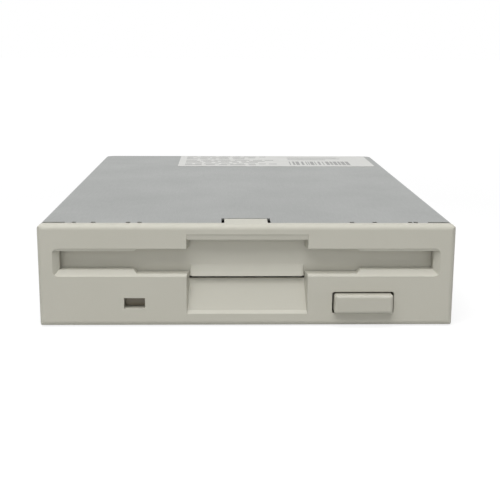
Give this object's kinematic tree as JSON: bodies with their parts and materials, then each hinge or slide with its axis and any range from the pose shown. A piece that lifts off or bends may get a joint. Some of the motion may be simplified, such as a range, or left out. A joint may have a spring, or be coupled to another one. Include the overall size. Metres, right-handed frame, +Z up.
{
  "type": "floppy disk drive",
  "caption": "Slim disk drive with a slotted front bezel, dust flap, eject button, sheet metal cover, spindle motor, head carriage and rear pin connectors.",
  "frame": {"origin": "middle of the four bottom screw holes, on the bottom plane", "axes": "+Z up through the cover, -Y out of the bezel, +X to the right seen from the front"},
  "size_m": [0.1016, 0.1445, 0.0255],
  "materials": {
    "bezel_plastic": "moulded, fine texture",
    "flap_plastic": "moulded, satin",
    "button_plastic": "moulded, satin",
    "zinc_steel": "zinc plated, satin",
    "bright_steel": "ground, bright",
    "cast_metal": "die cast, dull",
    "black_plastic": "moulded, matt",
    "white_plastic": "moulded, satin",
    "board_laminate": "solder mask, semi gloss",
    "copper_wire": "enamelled",
    "gilt_contact": "plated, bright",
    "ferrite": "sintered, dull",
    "label_paper": "coated, satin",
    "lamp_resin": "clear tinted resin",
    "flex_film": "polyimide film"
  },
  "bodies": {
    "chassis": {"front_bezel": "bezel_plastic", "flap_pin": "bright_steel", "activity_lamp": "lamp_resin", "top_cover": "zinc_steel", "rating_label": "label_paper", "chassis_frame": "cast_metal", "slide_springs": "bright_steel", "spindle_bush": "gilt_contact", "stator_core": "zinc_steel", "stator_coils": "copper_wire", "motor_board": "board_laminate", "motor_driver_chip": "black_plastic", "index_sensor": "black_plastic", "main_board": "board_laminate", "control_chips": "black_plastic", "capacitors": "bright_steel", "board_link_cable": "flex_film", "link_connectors": "white_plastic", "data_connector": "black_plastic", "data_pins": "gilt_contact", "power_connector": "white_plastic", "power_pins": "gilt_contact", "stepper_motor": "zinc_steel", "stepper_bracket": "zinc_steel", "lead_bearing": "gilt_contact", "head_flex": "flex_film", "guide_rod": "bright_steel", "track_zero_sensor": "black_plastic", "switch_bodies": "black_plastic", "board_screws": "bright_steel", "bracket_screws": "bright_steel"},
    "flap": {"dust_flap": "flap_plastic", "flap_spring": "bright_steel"},
    "slide": {"slide_plate": "zinc_steel", "eject_button": "button_plastic"},
    "holder": {"disk_holder": "zinc_steel", "holder_guide_pins": "bright_steel", "lever_pivot": "bright_steel"},
    "lever": {"latch_lever": "bright_steel", "lever_spring": "bright_steel"},
    "spindle": {"rotor_cup": "zinc_steel", "ring_magnet": "ferrite", "spindle_hub": "bright_steel", "drive_pin": "bright_steel", "chuck_magnet": "ferrite"},
    "carriage": {"head_carriage": "black_plastic", "screw_follower": "bright_steel", "lower_head": "ferrite", "arm_pivot_pin": "bright_steel"},
    "head_arm": {"upper_arm": "bright_steel", "upper_head": "ferrite", "head_load_spring": "bright_steel"},
    "screw": {"lead_screw": "bright_steel"},
    "write_protect": {"write_protect_plunger": "white_plastic"},
    "density": {"density_plunger": "white_plastic"},
    "disk_in": {"disk_in_plunger": "white_plastic"}
  },
  "joints": [
    {"name": "eject_slide", "type": "slide", "parent": "chassis", "child": "slide", "axis": [0, -1, 0], "range_m": [0, 0.0045], "deforming": ["slide_springs"]},
    {"name": "holder_drop", "type": "slide", "parent": "chassis", "child": "holder", "axis": [0, 0, -1], "range_m": [0, 0.0026]},
    {"name": "latch_swing", "type": "hinge", "parent": "holder", "child": "lever", "pos_m": [0.0385, 0.018, 0.01965], "axis": [0, 0, -1], "range_deg": [0, 40]},
    {"name": "carriage_slide", "type": "slide", "parent": "chassis", "child": "carriage", "axis": [0, -1, 0], "range_m": [0, 0.0148], "deforming": ["head_flex"]},
    {"name": "arm_load", "type": "hinge", "parent": "carriage", "child": "head_arm", "pos_m": [0, 0.051, 0.0158], "axis": [1, 0, 0], "range_deg": [0, 9]},
    {"name": "lead_screw_spin", "type": "hinge", "parent": "chassis", "child": "screw", "pos_m": [-0.024, 0.039, 0.0142], "axis": [0, 1, 0], "range_deg": [0, 1421.5]},
    {"name": "spindle_spin", "type": "hinge", "parent": "chassis", "child": "spindle", "pos_m": [0, -0.02, 0.008], "axis": [0, 0, 1], "continuous": true},
    {"name": "flap_swing", "type": "hinge", "parent": "chassis", "child": "flap", "pos_m": [0, -0.0712, 0.0207], "axis": [1, 0, 0], "range_deg": [0, 80], "stiffness_Nm_per_rad": 0.0005},
    {"name": "write_protect_press", "type": "slide", "parent": "chassis", "child": "write_protect", "axis": [0, 0, -1], "range_m": [0, 0.001], "stiffness_N_per_m": 150},
    {"name": "density_press", "type": "slide", "parent": "chassis", "child": "density", "axis": [0, 0, -1], "range_m": [0, 0.001], "stiffness_N_per_m": 150},
    {"name": "disk_in_press", "type": "slide", "parent": "chassis", "child": "disk_in", "axis": [0, 0, -1], "range_m": [0, 0.001], "stiffness_N_per_m": 150}
  ],
  "couplings": [
    {"joint": "holder_drop", "follows": "eject_slide", "ratio": 0.5777},
    {"joint": "latch_swing", "follows": "eject_slide", "rad_per_m": 155.1},
    {"joint": "arm_load", "follows": "eject_slide", "rad_per_m": 34.9},
    {"joint": "lead_screw_spin", "follows": "carriage_slide", "rad_per_m": 1675.5}
  ]
}
